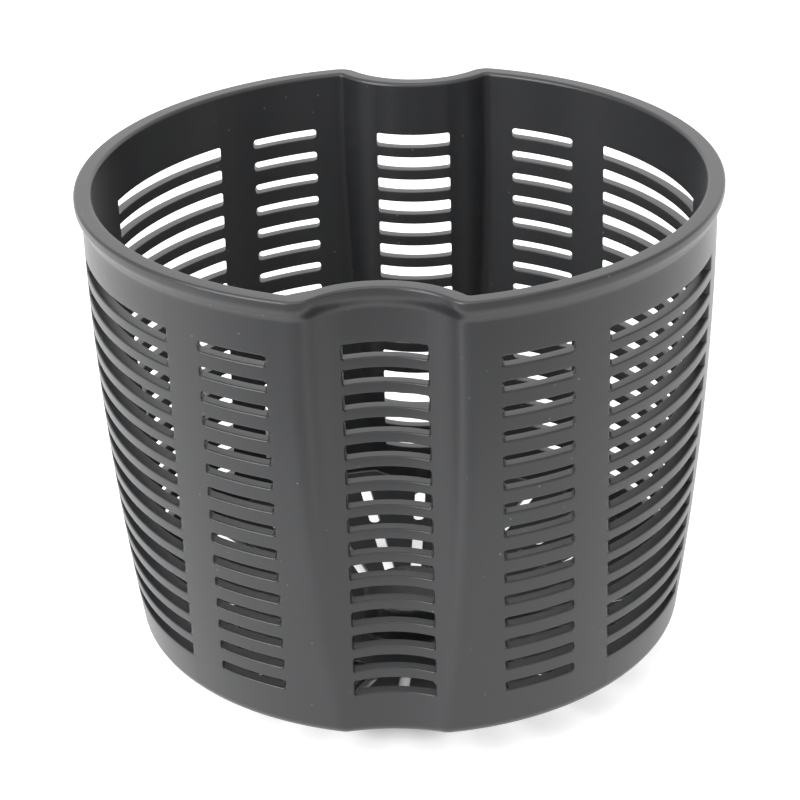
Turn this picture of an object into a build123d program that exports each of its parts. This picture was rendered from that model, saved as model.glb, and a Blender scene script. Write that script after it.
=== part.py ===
"""Filter basket for a cooking blender: one moulded plastic cup with a slotted wall and floor.

Millimetres. The origin is the centre of the foot, on the surface that the basket stands on, and +Z points
up to the open rim. The two upright grooves in the wall lie at -Y and +Y.
"""

import os
from math import cos, radians, sin, tan

from build123d import *

# Overall
height = 122.55
rim_radius = 75.2
wall = 2.65

# Side wall: a gently bowed cone that grows wider up to the rim
wall_taper = 7.8
wall_bulge = 2.07
wall_bottom_height = 10.7
inner_bottom_round = 0.55

# Lip around the open top: an upright band that slopes back into the wall below
lip_overhang = 1.6
lip_band = 2.7
lip_slope_angle = 41.0
lip_round = 0.4
rim_inner_bevel = 0.5

# Two upright grooves, each the side of a round bar that leans in towards the foot
groove_depth = 10.6
groove_radius = 21.9
groove_lean = 0.69
inner_shoulder = 0.95

# Floor: a shallow dish that stands on a flat foot around a hollow boss
floor_thickness = 2.0
foot_radius = 22.0
boss_radius = 11.5
boss_height = 12.0
boss_round = 1.2

# Rows of slots in the wall, at the same heights in every column
row_count = 15
top_row_drop = 15.35
bottom_row_lift = 11.8
groove_slot_length = 18.5
groove_slot_height = 3.4
groove_slot_corner = 0.5
flank_slot_start = 25.1
flank_slot_length = 15.3
flank_slot_height = 2.36
flank_slot_corner = 0.75
wide_slot_start = 48.1
wide_slot_height = 3.4
wide_slot_corner = 0.6
side_strip = 34.0

# Rays of slots in the floor: an outer ring, and an inner ring of long and short ones in turn
ray_count = 24
ray_width = 2.8
ray_margin = 3.15
outer_ray_length = 16.4
ray_bridge = 3.6
long_ray_length = 17.5
short_ray_length = 15.0

# Worked out from the sizes above
wall_top_radius = rim_radius - lip_overhang
wall_bottom_radius = wall_top_radius - wall_taper
bottom_round = inner_bottom_round + wall
dish_rise = wall_bottom_height / (wall_bottom_radius - foot_radius)
lip_slope = (lip_overhang + wall / 2) / tan(radians(lip_slope_angle))
groove_shoulder = inner_shoulder + wall
groove_axis = rim_radius - groove_depth + groove_radius - lip_overhang
groove_shift = (height - wall_bottom_height) * tan(radians(groove_lean))
row_pitch = (height - top_row_drop - wall_bottom_height - bottom_row_lift) / (row_count - 1)
row_middle = (height - top_row_drop + wall_bottom_height + bottom_row_lift) / 2
ray_pitch = 360 / ray_count
outer_ray_end = wall_bottom_radius - wall - ray_margin
groove_ray_end = groove_axis - groove_shift - groove_radius - wall - ray_margin
outer_ray_start = outer_ray_end - outer_ray_length
inner_ray_end = outer_ray_start - ray_bridge


def wall_curve(bottom_radius, bottom_height, top_radius):
    """One face of the side wall in section, bowed outwards between its two ends."""
    middle = ((bottom_radius + top_radius) / 2 + wall_bulge, (bottom_height + height) / 2)
    return ThreePointArc((bottom_radius, bottom_height), middle, (top_radius, height))


def groove_bars(radius):
    """Two round bars along the grooves' axes, from above the rim to below the foot."""
    lean = radians(groove_lean)
    with BuildPart() as bars:
        for side in (-1, 1):
            down = (0, -side * sin(lean), -cos(lean))
            rim_plane = Plane(origin=(0, side * groove_axis, height), x_dir=(1, 0, 0), z_dir=down)
            with BuildSketch(rim_plane.offset(-lip_band)):
                Circle(radius)
            extrude(amount=lip_band + height + wall_bottom_height)
    return bars.part


def is_upright(edge):
    """True for the edges that run from the floor to the rim."""
    return edge.bounding_box().size.Z > height / 2 and abs(edge.center().X) > wall


def is_dish_edge(edge):
    """True for the edges around the outside of the dish, where it meets the wall."""
    return edge.bounding_box().min.Z > wall_bottom_height / 2


inner_bars = groove_bars(groove_radius + wall)
outer_bars = groove_bars(groove_radius)

# The space inside, with the grooves and the boss standing in it
with BuildPart() as cavity:
    inner_bottom_radius = wall_bottom_radius - wall
    inner_bottom_height = floor_thickness + dish_rise * (inner_bottom_radius - foot_radius)
    with BuildSketch(Plane.XZ) as inner_section:
        with BuildLine():
            inner_face = wall_curve(inner_bottom_radius, inner_bottom_height, wall_top_radius - wall)
            Polyline(
                inner_face @ 0,
                (foot_radius, floor_thickness),
                (boss_radius, floor_thickness),
                (boss_radius, boss_height),
                (0, boss_height),
                (0, height),
                inner_face @ 1,
            )
        make_face()
        fillet(inner_section.vertices().group_by(Axis.X)[1], boss_round)
    revolve(axis=Axis.Z)
    add(inner_bars, mode=Mode.SUBTRACT)
    fillet(cavity.edges().filter_by(is_upright), inner_shoulder)
    dish_top = cavity.faces().filter_by(GeomType.CONE).sort_by(SortBy.AREA)[-1]
    fillet(dish_top.edges().filter_by(is_dish_edge), inner_bottom_round)

with BuildPart() as basket:
    # The cup as a solid, with the grooves pressed into it
    with BuildSketch(Plane.XZ):
        with BuildLine():
            outer_face = wall_curve(wall_bottom_radius, wall_bottom_height, wall_top_radius)
            Polyline(outer_face @ 0, (foot_radius, 0), (0, 0), (0, height), outer_face @ 1)
        make_face()
    revolve(axis=Axis.Z)
    add(outer_bars, mode=Mode.SUBTRACT)
    fillet(basket.edges().filter_by(is_upright), groove_shoulder)
    dish = basket.faces().filter_by(GeomType.CONE).sort_by(SortBy.AREA)[-1]
    fillet(dish.edges().filter_by(is_dish_edge), bottom_round)

    # The lip, which follows the grooves
    with BuildSketch(Plane.XY.offset(height - lip_band)) as lip_outline:
        Circle(rim_radius)
        with Locations((0, -groove_axis), (0, groove_axis)):
            Circle(groove_radius - lip_overhang, mode=Mode.SUBTRACT)
        fillet(lip_outline.vertices(), groove_shoulder + lip_overhang)
    extrude(amount=lip_band)
    extrude(lip_outline.sketch, amount=-lip_slope, taper=lip_slope_angle)
    fillet(basket.faces().sort_by(Axis.Z)[-1].edges(), lip_round)

    # The space inside, bevelled at the rim, and the hollow under the boss
    add(cavity.part, mode=Mode.SUBTRACT)
    with BuildSketch(Plane.XY.offset(height)) as rim_opening:
        Circle(wall_top_radius - wall + rim_inner_bevel)
        with Locations((0, -groove_axis), (0, groove_axis)):
            Circle(groove_radius + wall - rim_inner_bevel, mode=Mode.SUBTRACT)
        fillet(rim_opening.vertices(), inner_shoulder + rim_inner_bevel)
    extrude(amount=-2 * rim_inner_bevel, taper=45, mode=Mode.SUBTRACT)
    with BuildSketch():
        Circle(boss_radius - floor_thickness)
    extrude(amount=boss_height - floor_thickness, mode=Mode.SUBTRACT)

    # Slots through the grooves and the flanks of the wall, drawn straight across the cup
    with BuildSketch(Plane.XZ):
        with Locations((0, row_middle)):
            with GridLocations(groove_slot_length, row_pitch, 1, row_count):
                RectangleRounded(groove_slot_length, groove_slot_height, groove_slot_corner)
            with GridLocations(2 * flank_slot_start + flank_slot_length, row_pitch, 2, row_count):
                RectangleRounded(flank_slot_length, flank_slot_height, flank_slot_corner)
    extrude(amount=rim_radius, both=True, mode=Mode.SUBTRACT)

    # Wide slots that run round to the plain strip on each side
    wide_slot_length = rim_radius - wide_slot_start
    for side in (-1, 1):
        with BuildSketch(Plane.XZ.offset(side * side_strip / 2)):
            with Locations((0, row_middle)):
                with GridLocations(rim_radius + wide_slot_start, row_pitch, 2, row_count):
                    RectangleRounded(wide_slot_length, wide_slot_height, wide_slot_corner)
        extrude(amount=side * rim_radius, mode=Mode.SUBTRACT)

    # Slots through the floor
    with BuildSketch():
        for ray in range(ray_count):
            faces_groove = ray % (ray_count // 2) == 0
            outer_end = groove_ray_end if faces_groove else outer_ray_end
            inner_length = short_ray_length if ray % 2 else long_ray_length
            for start, end in ((outer_ray_start, outer_end), (inner_ray_end - inner_length, inner_ray_end)):
                with PolarLocations((start + end) / 2, 1, start_angle=90 + ray * ray_pitch):
                    SlotOverall(end - start, ray_width)
    extrude(amount=wall_bottom_height + floor_thickness, mode=Mode.SUBTRACT)

basket.part.label = "basket"
os.makedirs("parts", exist_ok=True)
export_step(basket.part, "parts/basket.step")
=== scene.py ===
import math

import bmesh
import bpy
from mathutils import Matrix, Vector


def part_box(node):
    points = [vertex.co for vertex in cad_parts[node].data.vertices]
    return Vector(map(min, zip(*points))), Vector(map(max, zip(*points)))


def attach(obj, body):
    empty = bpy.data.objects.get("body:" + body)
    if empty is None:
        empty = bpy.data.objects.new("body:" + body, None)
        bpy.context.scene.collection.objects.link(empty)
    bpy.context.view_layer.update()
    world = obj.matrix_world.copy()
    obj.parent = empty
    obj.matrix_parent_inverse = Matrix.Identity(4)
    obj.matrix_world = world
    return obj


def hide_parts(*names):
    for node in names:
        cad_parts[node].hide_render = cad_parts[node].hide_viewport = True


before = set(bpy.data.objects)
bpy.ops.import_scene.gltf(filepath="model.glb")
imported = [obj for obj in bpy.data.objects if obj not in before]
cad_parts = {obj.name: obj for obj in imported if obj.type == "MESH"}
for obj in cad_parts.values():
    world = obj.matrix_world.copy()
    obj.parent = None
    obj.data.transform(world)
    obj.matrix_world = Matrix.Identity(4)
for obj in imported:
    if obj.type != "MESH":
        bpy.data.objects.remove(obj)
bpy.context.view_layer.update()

# Basket
# The whole object is one injection moulding in charcoal plastic: a bowed, tapered cup with two upright
# grooves, rows of slots straight through the wall, a thin lip, and a dished floor with rays of slots.
# The wall is drawn as one flat quarter, slotted and edge-rounded there, then bent round and mirrored.
low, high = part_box("basket")
height = high[2]
rim_radius = high[0]
wall = 0.00265
wall_taper = 0.0078
wall_bulge = 0.00207
wall_bottom_height = 0.0107
lip_overhang = 0.0016
wall_top_radius = rim_radius - lip_overhang
wall_bottom_radius = wall_top_radius - wall_taper
bottom_round = 0.0032
foot_radius = 0.022
floor_thickness = 0.002
dish_rise = wall_bottom_height / (wall_bottom_radius - foot_radius)

groove_depth = 0.0106
groove_radius = 0.0219
groove_axis = rim_radius - groove_depth + groove_radius - lip_overhang
groove_lean = math.tan(math.radians(0.69))
groove_shoulder = 0.0036

# Rows of slots. The groove and wide slots are tall, the flank slots are short.
row_count = 15
top_row_drop = 0.01535
bottom_row_lift = 0.0118
top_row = height - top_row_drop
bottom_row = wall_bottom_height + bottom_row_lift
rows = [bottom_row + (top_row - bottom_row) * row / (row_count - 1) for row in range(row_count)]
tall_half = 0.0017
short_half = 0.00118
tall_corner_up = tall_half - short_half
groove_slot_end = 0.00925
groove_corner = 0.0005
flank_slot = (0.0251, 0.0404)
flank_corner = 0.00075
wide_slot_start = 0.0481
wide_corner = 0.0006
wide_run = 0.036
strip_start = wide_slot_start + wide_run
half_strip = 0.017
sheet_end = strip_start + half_strip

# Lip, foot and edges. Below foot_start the sheet becomes the curve from the wall into the dish, and
# foot_turn gives the two shares of that curve between which it turns.
foot_start = 0.0165
foot_turn = (0.1, 0.8)
foot_run_in = 0.0015
lip_drop = 0.0056
lip_band = 0.0017
lip_start = height - lip_drop
lip_full = height - lip_band
lip_round = 0.0007
rim_inner_round = 0.0009
edge_round = 0.00035
inner_edge_round = 0.00018


def wall_radius(z):
    """Outer radius of the plain wall at a height."""
    share = (z - wall_bottom_height) / (height - wall_bottom_height)
    straight = wall_bottom_radius + (wall_top_radius - wall_bottom_radius) * share
    return straight + 4 * wall_bulge * share * (1 - share)


def front_face(x, z, out):
    """How far in front of the centre the wall stands at x, moved outwards by out, grooves included."""
    radius = wall_radius(z) + out
    bar = groove_radius - out
    shoulder = groove_shoulder + out
    axis = groove_axis - groove_lean * (height - z)
    round_y = ((radius - shoulder) ** 2 + axis ** 2 - (bar + shoulder) ** 2) / (2 * axis)
    round_x = math.sqrt(max((radius - shoulder) ** 2 - round_y ** 2, 0))
    if x <= round_x * bar / (bar + shoulder):
        return axis - math.sqrt(bar ** 2 - x ** 2)
    if x < round_x * radius / (radius - shoulder):
        return round_y + math.sqrt(max(shoulder ** 2 - (x - round_x) ** 2, 0))
    return math.sqrt(radius ** 2 - x ** 2)


def plan_point(along, z, out):
    """Where a point of the flat quarter stands in plan, at a height and a distance outwards."""
    if along <= wide_slot_start:
        return along, -front_face(along, z, out)
    radius = wall_radius(z) + out
    if along < strip_start:
        share = (along - wide_slot_start) / wide_run
        first = math.asin(wide_slot_start / radius)
        last = math.acos(half_strip / radius)
        angle = first + (last - first) * share
        return radius * math.sin(angle), -radius * math.cos(angle)
    y = along - sheet_end
    return math.sqrt(radius ** 2 - y ** 2), y


def foot_profile(share, inset):
    """Distance outwards and height along the curve from the wall into the dish, share running 0 to 1."""
    corner_radius = wall_bottom_radius - inset
    corner_height = wall_bottom_height + (floor_thickness - inset * dish_rise if inset else 0)
    turn_radius = bottom_round - inset
    turn_start, turn_end = foot_turn
    lean = math.atan2(wall_radius(foot_start) - wall_bottom_radius, foot_start - wall_bottom_height)
    slope = math.atan(dish_rise)
    turn = math.pi / 2 - lean - slope
    reach = turn_radius * math.tan(turn / 2)
    if share > turn_end:
        inwards = reach + (share - turn_end) / (1 - turn_end) * foot_run_in
        radius = corner_radius - inwards * math.cos(slope)
        z = corner_height - inwards * math.sin(slope)
    else:
        centre_radius = corner_radius + reach * math.sin(lean) - turn_radius * math.cos(lean)
        centre_height = corner_height + reach * math.cos(lean) + turn_radius * math.sin(lean)
        angle = lean + turn * max(share - turn_start, 0) / (turn_end - turn_start)
        radius = centre_radius + turn_radius * math.cos(angle)
        z = centre_height - turn_radius * math.sin(angle)
    return radius - wall_radius(z), z


def bend(flat):
    """The place on the cup of a point of the flat sheet (along, depth, height)."""
    along, depth, z = flat
    outside = depth > -wall / 2
    out = depth
    if z > lip_start and outside:
        share = min((z - lip_start) / (lip_full - lip_start), 1)
        out = lip_overhang * share * share * (3 - 2 * share)
        over = max(z - (height - lip_round), 0)
        out -= lip_round - math.sqrt(lip_round ** 2 - over ** 2)
    elif z > height - rim_inner_round:
        over = z - (height - rim_inner_round)
        out += rim_inner_round - math.sqrt(rim_inner_round ** 2 - over ** 2)
    elif z < foot_start:
        out, z = foot_profile((foot_start - z) / foot_start, 0 if outside else wall)
    x, y = plan_point(along, z, out)
    if z < bottom_row:
        sunk = math.hypot(x, y) - wall_radius(z) - out
        z += dish_rise * sunk * min((bottom_row - z) / (bottom_row - foot_start), 1)
    return Vector((x, y, z))


def slot_at(along, z):
    """The slot at a spot of the flat sheet, or None: row, ends, half height, corner length and height."""
    nearest = min(rows, key=lambda row: abs(row - z))
    if along < groove_slot_end:
        slot = (-groove_slot_end, groove_slot_end, tall_half, groove_corner, tall_corner_up)
    elif flank_slot[0] < along < flank_slot[1]:
        slot = (*flank_slot, short_half, flank_corner, flank_corner)
    elif wide_slot_start < along < strip_start:
        slot = (wide_slot_start, strip_start + wide_corner, tall_half, wide_corner, tall_corner_up)
    else:
        return None
    return (nearest, *slot) if abs(z - nearest) < slot[2] else None


def lines_between(first, last, count):
    """Evenly spaced lines after first, up to and with last."""
    return [first + (last - first) * step / count for step in range(1, count + 1)]


# The sheet's lines, closest together where the wall bends most: at the grooves' shoulders, foot and lip.
groove_slot_lines = (0, 0.0024, 0.0046, 0.0067)
shoulder_end = 0.02065
flank_start_line = 0.0228
flank_slot_lines = (0.0277, 0.0299, 0.0321, 0.0343, 0.0365, 0.0385)
flank_end_lines = (0.0428, 0.0454)
along_lines = [*groove_slot_lines, groove_slot_end - groove_corner, groove_slot_end]
along_lines += lines_between(groove_slot_end, shoulder_end, 12)
along_lines += [flank_start_line, flank_slot[0], flank_slot[0] + flank_corner]
along_lines += [*flank_slot_lines, flank_slot[1] - flank_corner, flank_slot[1]]
along_lines += [*flank_end_lines, wide_slot_start, wide_slot_start + wide_corner]
along_lines += lines_between(wide_slot_start, strip_start, 16)
along_lines += lines_between(strip_start, sheet_end, 7)
quarter_turn = [math.pi / 8 * step for step in range(5)]
slot_halves = (tall_half, short_half, short_half - flank_corner)
blank_bottom = top_row + tall_half
height_lines = lines_between(0, foot_start, 10)
height_lines += [(foot_start + bottom_row - tall_half) / 2]
for row in rows:
    height_lines += [row - half for half in slot_halves]
    height_lines += [row + half for half in reversed(slot_halves)]
height_lines += lines_between(blank_bottom, lip_start, 4)
height_lines += lines_between(lip_start, lip_full, 8)
height_lines += [height - rim_inner_round]
height_lines += [height - lip_round * (1 - math.sin(turn)) for turn in quarter_turn]

# One line of edges along the bottom, drawn up from height to height into a flat sheet of cells.
cup = bmesh.new()
corners = [cup.verts.new((along, 0, 0)) for along in along_lines]
top_edges = [cup.edges.new(pair) for pair in zip(corners, corners[1:])]
drawn_to = 0
for line in height_lines:
    drawn = bmesh.ops.extrude_edge_only(cup, edges=top_edges)["geom"]
    top_edges = [item for item in drawn if isinstance(item, bmesh.types.BMEdge)]
    top_verts = [item for item in drawn if isinstance(item, bmesh.types.BMVert)]
    bmesh.ops.translate(cup, verts=top_verts, vec=(0, 0, line - drawn_to))
    drawn_to = line

# The slots are taken out cell by cell. A cell in a slot's corner stays, with its free vertex on the arc.
open_cells = []
corner_moves = {}
onto_arc = math.sqrt(0.5)
for face in cup.faces:
    middle = face.calc_center_median()
    slot = slot_at(middle.x, middle.z)
    if slot is None:
        continue
    row, start, end, half, corner_along, corner_up = slot
    from_end = min(middle.x - start, end - middle.x)
    from_edge = half - abs(middle.z - row)
    if from_end > corner_along or from_edge > corner_up:
        open_cells.append(face)
        continue
    outwards = Vector((1 if end - middle.x < middle.x - start else -1, 0, 1 if middle.z > row else -1))
    free = min(face.verts, key=lambda vert: (vert.co - middle).dot(outwards))
    corner_moves[free] = Vector((outwards.x * corner_along, 0, outwards.z * corner_up)) * onto_arc
bmesh.ops.delete(cup, geom=open_cells, context="FACES")
for vert, move in corner_moves.items():
    vert.co += move

# Thickness, then a small round along every slot edge, inside and out. The faces that would close the
# sheet's sides and bottom are left off, because the other quarters and the floor join on there.
bmesh.ops.recalc_face_normals(cup, faces=cup.faces[:])
inner_sheet = bmesh.ops.extrude_face_region(cup, geom=cup.faces[:], use_keep_orig=True)
inner_verts = [item for item in inner_sheet["geom"] if isinstance(item, bmesh.types.BMVert)]
bmesh.ops.translate(cup, verts=inner_verts, vec=(0, -wall, 0))
near = 1e-6
sharp_angle = 1
joined_sides = [
    face for face in cup.faces
    if all(vert.co.x < near for vert in face.verts)
    or all(vert.co.x > sheet_end - near for vert in face.verts)
    or all(vert.co.z < near for vert in face.verts)
]
bmesh.ops.delete(cup, geom=joined_sides, context="FACES")
for depth, rounding in ((0, edge_round), (-wall, inner_edge_round)):
    slot_edges = [
        edge for edge in cup.edges
        if len(edge.link_faces) == 2
        and edge.calc_face_angle() > sharp_angle
        and all(abs(vert.co.y - depth) < near for vert in edge.verts)
        and edge.verts[0].co.z < height - near
    ]
    bmesh.ops.bevel(
        cup,
        geom=slot_edges,
        offset=rounding,
        offset_type="OFFSET",
        segments=2,
        profile=0.5,
        affect="EDGES",
        clamp_overlap=False,
        material=-1,
    )
for vert in cup.verts:
    vert.co = bend(vert.co)
for axis in ("X", "Y"):
    everything = cup.verts[:] + cup.edges[:] + cup.faces[:]
    bmesh.ops.mirror(cup, geom=everything, matrix=Matrix(), merge_dist=0.0, axis=axis)
    bmesh.ops.remove_doubles(cup, verts=cup.verts[:], dist=near)

# The floor: foot and boss turned from a profile, and rays of slots, filled in between to the wall.
boss_radius = 0.0115
boss_height = 0.012
boss_round = 0.0012
boss_hollow = boss_radius - floor_thickness
turned_steps = 96
ray_count = 24
ray_width = 0.0028
ray_segments = 16
outer_ray = (0.0436, 0.06)
groove_ray_end = 0.05585
inner_ray_end = 0.04
long_ray_start = 0.0225
short_ray_start = 0.025
base = bmesh.new()


def dish(radius):
    """Height of the dish's underside at a distance from the middle."""
    return dish_rise * max(radius - foot_radius, 0)


def drain_slot(start, end, turn):
    """A slot through the dish along one ray, drawn up from below and a little wider at both faces."""
    half = (end - start - ray_width) / 2
    half_segment = Matrix.Rotation(math.pi / ray_segments, 4, "Z")
    ring = bmesh.ops.create_circle(base, segments=ray_segments, radius=ray_width / 2, matrix=half_segment)
    verts = ring["verts"]
    for vert in verts:
        vert.co.x += math.copysign(half, vert.co.x)
    wider = Vector((1 + edge_round / (half + ray_width / 2), 1 + edge_round / (ray_width / 2), 1))
    closer = Vector((1 / wider.x, 1 / wider.y, 1))
    bmesh.ops.scale(base, verts=verts, vec=wider)
    edges = list({edge for vert in verts for edge in vert.link_edges})
    tube = verts[:]
    for rise, size in (
        (edge_round, closer),
        (floor_thickness - 2 * edge_round, Vector((1, 1, 1))),
        (edge_round, wider),
    ):
        drawn = bmesh.ops.extrude_edge_only(base, edges=edges)["geom"]
        verts = [item for item in drawn if isinstance(item, bmesh.types.BMVert)]
        edges = [item for item in drawn if isinstance(item, bmesh.types.BMEdge)]
        bmesh.ops.translate(base, verts=verts, vec=(0, 0, rise))
        bmesh.ops.scale(base, verts=verts, vec=size)
        tube += verts
    on_ray = Matrix.Rotation(turn, 4, "Z") @ Matrix.Translation(((start + end) / 2, 0, 0))
    bmesh.ops.transform(base, verts=tube, matrix=on_ray)
    for vert in tube:
        vert.co.z += dish(math.hypot(vert.co.x, vert.co.y))


for ray in range(ray_count):
    turn = 2 * math.pi * ray / ray_count - math.pi / 2
    outer_end = groove_ray_end if ray % (ray_count // 2) == 0 else outer_ray[1]
    inner_start = short_ray_start if ray % 2 else long_ray_start
    drain_slot(outer_ray[0], outer_end, turn)
    drain_slot(inner_start, inner_ray_end, turn)
foot_section = [(foot_radius, 0), (boss_hollow + edge_round, 0), (boss_hollow, edge_round)]
foot_section += [(boss_hollow, boss_height - floor_thickness), (0, boss_height - floor_thickness)]
boss_section = [(foot_radius, floor_thickness)]
boss_section += [
    (boss_radius + boss_round * (1 - math.sin(turn)), floor_thickness + boss_round * (1 - math.cos(turn)))
    for turn in quarter_turn
]
boss_section += [
    (boss_radius - boss_round * (1 - math.cos(turn)), boss_height - boss_round * (1 - math.sin(turn)))
    for turn in quarter_turn
]
boss_section += [(0, boss_height)]
for section in (foot_section, boss_section):
    points = [base.verts.new((0, -radius, z)) for radius, z in section]
    lines = [base.edges.new(pair) for pair in zip(points, points[1:])]
    bmesh.ops.spin(
        base,
        geom=points + lines,
        cent=(0, 0, 0),
        axis=(0, 0, 1),
        angle=2 * math.pi,
        steps=turned_steps,
        use_merge=True,
    )
bmesh.ops.remove_doubles(base, verts=base.verts[:], dist=near)
base_mesh = bpy.data.meshes.new("base")
base.to_mesh(base_mesh)
base.free()
cup.from_mesh(base_mesh)
bpy.data.meshes.remove(base_mesh)

# All open rims now lie on one of the floor's two faces, and each face is filled between its rims.
rims_below = []
rims_above = []
for edge in cup.edges:
    if edge.is_boundary:
        middle = (edge.verts[0].co + edge.verts[1].co) / 2
        below = middle.z - dish(math.hypot(middle.x, middle.y)) < floor_thickness / 2
        (rims_below if below else rims_above).append(edge)
for rims in (rims_below, rims_above):
    bmesh.ops.triangle_fill(cup, use_beauty=True, edges=rims, normal=(0, 0, 1))
bmesh.ops.recalc_face_normals(cup, faces=cup.faces[:])

basket_mesh = bpy.data.meshes.new("basket_moulding")
cup.to_mesh(basket_mesh)
cup.free()
for polygon in basket_mesh.polygons:
    polygon.use_smooth = True
basket = bpy.data.objects.new("basket_moulding", basket_mesh)
bpy.context.scene.collection.objects.link(basket)
even_shading = basket.modifiers.new("even_shading", "WEIGHTED_NORMAL")
even_shading.weight = 50

# The plastic's fine moulded grain, its slightly uneven tone and a few pale specks of dust on it.
grain = bpy.data.node_groups.new("moulded_grain", "ShaderNodeTree")
for socket in ("Grain", "Tone", "Specks"):
    grain.interface.new_socket(socket, in_out="OUTPUT", socket_type="NodeSocketFloat")
grain_out = grain.nodes.new("NodeGroupOutput")
basket_point = grain.nodes.new("ShaderNodeTexCoord")
fine = grain.nodes.new("ShaderNodeTexNoise")
fine.inputs["Scale"].default_value = 1600
fine.inputs["Detail"].default_value = 3
cloud = grain.nodes.new("ShaderNodeTexNoise")
cloud.inputs["Scale"].default_value = 60
cloud.inputs["Detail"].default_value = 4
dust = grain.nodes.new("ShaderNodeTexVoronoi")
dust.inputs["Scale"].default_value = 330
dust_size = grain.nodes.new("ShaderNodeMapRange")
dust_size.inputs["From Min"].default_value = 0.1
dust_size.inputs["From Max"].default_value = 0.04
dust_few = grain.nodes.new("ShaderNodeMapRange")
dust_few.inputs["From Min"].default_value = 0.66
dust_few.inputs["From Max"].default_value = 0.76
dust_mask = grain.nodes.new("ShaderNodeMath")
dust_mask.operation = "MULTIPLY"
for texture in (fine, cloud, dust):
    grain.links.new(basket_point.outputs["Object"], texture.inputs["Vector"])
grain.links.new(fine.outputs["Fac"], grain_out.inputs["Grain"])
grain.links.new(cloud.outputs["Fac"], grain_out.inputs["Tone"])
grain.links.new(dust.outputs["Distance"], dust_size.inputs["Value"])
grain.links.new(dust.outputs["Color"], dust_few.inputs["Value"])
grain.links.new(dust_size.outputs["Result"], dust_mask.inputs[0])
grain.links.new(dust_few.outputs["Result"], dust_mask.inputs[1])
grain.links.new(dust_mask.outputs["Value"], grain_out.inputs["Specks"])

# The satin charcoal plastic itself.
deep_charcoal = (0.0118, 0.0123, 0.0135, 1)
pale_charcoal = (0.0166, 0.0171, 0.0187, 1)
dust_grey = (0.1, 0.1, 0.1, 1)
plastic = bpy.data.materials.new("charcoal_plastic")
plastic.use_nodes = True
nodes = plastic.node_tree.nodes
links = plastic.node_tree.links
shader = nodes["Principled BSDF"]
shader.inputs["IOR"].default_value = 1.5
surface = nodes.new("ShaderNodeGroup")
surface.node_tree = grain
tone = nodes.new("ShaderNodeMix")
tone.data_type = "RGBA"
tone.inputs["A"].default_value = deep_charcoal
tone.inputs["B"].default_value = pale_charcoal
dusty = nodes.new("ShaderNodeMix")
dusty.data_type = "RGBA"
dusty.inputs["B"].default_value = dust_grey
sheen = nodes.new("ShaderNodeMapRange")
sheen.inputs["To Min"].default_value = 0.3
sheen.inputs["To Max"].default_value = 0.38
bump = nodes.new("ShaderNodeBump")
bump.inputs["Strength"].default_value = 0.12
bump.inputs["Distance"].default_value = 0.0002
links.new(surface.outputs["Tone"], tone.inputs["Factor"])
links.new(tone.outputs["Result"], dusty.inputs["A"])
links.new(surface.outputs["Specks"], dusty.inputs["Factor"])
links.new(dusty.outputs["Result"], shader.inputs["Base Color"])
links.new(surface.outputs["Tone"], sheen.inputs["Value"])
links.new(sheen.outputs["Result"], shader.inputs["Roughness"])
links.new(surface.outputs["Grain"], bump.inputs["Height"])
links.new(bump.outputs["Normal"], shader.inputs["Normal"])
basket_mesh.materials.append(plastic)
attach(basket, "root")
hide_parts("basket")

# Studio floor
# A wide sheet of white board under and behind the basket, which also fills the background of the picture.
# Its glow is painted light, as from a light table, which lightens the shadows on it, and a painted shade
# spot under the front of the basket dims that glow to stand in for the shadow there.
board_front = -0.19
board_size = 6
board_gap = 0.0001
board_white = (0.63, 0.63, 0.63, 1)
board_painted_glow = 0.6
painted_shade_spot = (0, -0.026, 0)
painted_shade_core = 0.015
painted_shade_edge = 0.026
board = bmesh.new()
under_basket = Matrix.Translation((0, board_front + board_size / 2, low[2] - board_gap))
bmesh.ops.create_grid(board, x_segments=1, y_segments=1, size=board_size / 2, matrix=under_basket)
board_mesh = bpy.data.meshes.new("white_board")
board.to_mesh(board_mesh)
board.free()
floor = bpy.data.objects.new("white_board", board_mesh)
bpy.context.scene.collection.objects.link(floor)
white = bpy.data.materials.new("white_board")
white.use_nodes = True
white_nodes = white.node_tree.nodes
white_links = white.node_tree.links
white_shader = white_nodes["Principled BSDF"]
white_shader.inputs["Base Color"].default_value = board_white
white_shader.inputs["Roughness"].default_value = 0.9
# Painted light: the board's emission is full away from the basket and fades to nothing in a painted shade
# spot under the basket's front.
white_shader.inputs["Emission Strength"].default_value = 1
board_point = white_nodes.new("ShaderNodeTexCoord")
distance_from_painted_shade = white_nodes.new("ShaderNodeVectorMath")
distance_from_painted_shade.operation = "DISTANCE"
distance_from_painted_shade.inputs[1].default_value = painted_shade_spot
painted_glow = white_nodes.new("ShaderNodeMapRange")
painted_glow.inputs["From Min"].default_value = painted_shade_core
painted_glow.inputs["From Max"].default_value = painted_shade_edge
painted_glow.inputs["To Max"].default_value = board_painted_glow
white_links.new(board_point.outputs["Object"], distance_from_painted_shade.inputs[0])
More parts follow.
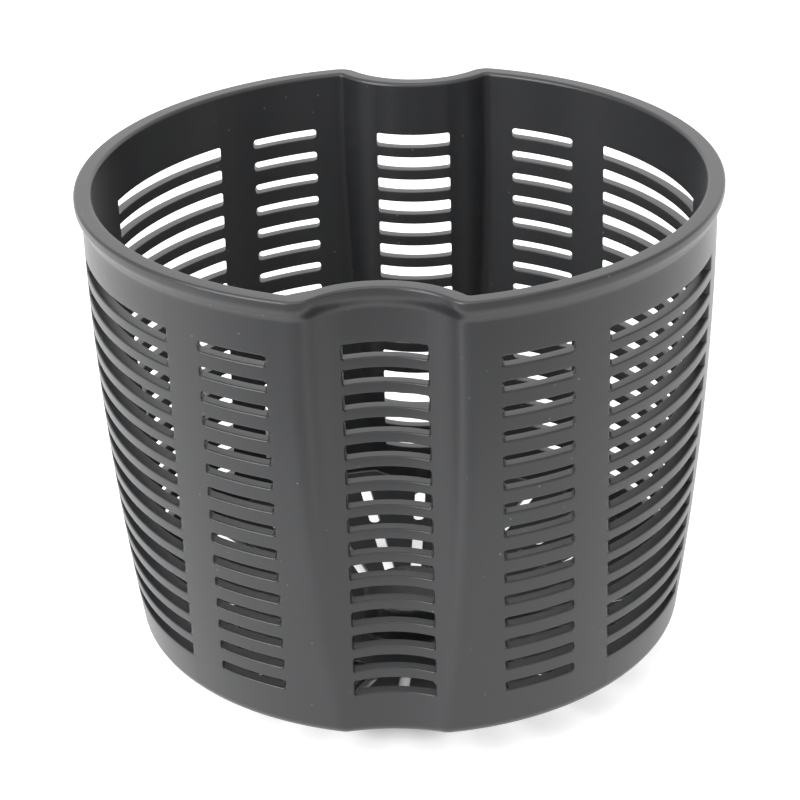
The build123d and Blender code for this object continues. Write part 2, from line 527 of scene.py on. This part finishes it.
white_links.new(distance_from_painted_shade.outputs["Value"], painted_glow.inputs["Value"])
white_links.new(painted_glow.outputs["Result"], white_shader.inputs["Emission Color"])
board_mesh.materials.append(white)

# Studio light
# A white surround, and three soft lights that face the middle of the basket: a broad screen behind it,
# which lights the rim, one in front on the left, and one above.
surround_strength = 1.08
world = bpy.data.worlds.new("white_surround")
world.use_nodes = True
surround = world.node_tree.nodes["Background"]
surround.inputs["Color"].default_value = (1, 1, 1, 1)
surround.inputs["Strength"].default_value = surround_strength
bpy.context.scene.world = world
for light_name, light_place, light_size, light_power in (
    ("back_screen", (0.1, 1.5, 0.75), (3.2, 1.5), 8),
    ("left_softbox", (-1.0, -0.8, 0.7), (0.9, 0.9), 19),
    ("top_softbox", (0, -0.4, 1.5), (1.6, 1.3), 13),
):
    light = bpy.data.lights.new(light_name, "AREA")
    light.shape = "RECTANGLE"
    light.size, light.size_y = light_size
    light.energy = light_power
    lamp = bpy.data.objects.new(light_name, light)
    lamp.location = light_place
    aim = Vector((0, 0, height / 2)) - Vector(light_place)
    lamp.rotation_euler = aim.to_track_quat("-Z", "Y").to_euler()
    bpy.context.scene.collection.objects.link(lamp)

# Camera
# A long lens above the basket and a little to its right, turned slightly on its axis as in the picture.
camera_place = Vector((0.037, -0.5924, 0.35777))
camera_target = Vector((-0.00132, 0, 0.06408))
camera_roll = math.radians(-1.615)
camera = bpy.data.cameras.new("camera")
camera.sensor_width = 36
camera.lens = 123.7
camera.shift_x = 0.0006
camera.shift_y = -0.0006
camera_object = bpy.data.objects.new("camera", camera)
forward = (camera_target - camera_place).normalized()
right = forward.cross(Vector((0, 0, 1))).normalized()
up = right.cross(forward)
across = math.cos(camera_roll) * right + math.sin(camera_roll) * up
upwards = math.cos(camera_roll) * up - math.sin(camera_roll) * right
turned_camera = Matrix((across, upwards, -forward)).transposed().to_4x4()
camera_object.matrix_world = Matrix.Translation(camera_place) @ turned_camera
bpy.context.scene.collection.objects.link(camera_object)
bpy.context.scene.camera = camera_object
bpy.context.scene.view_settings.view_transform = "Standard"
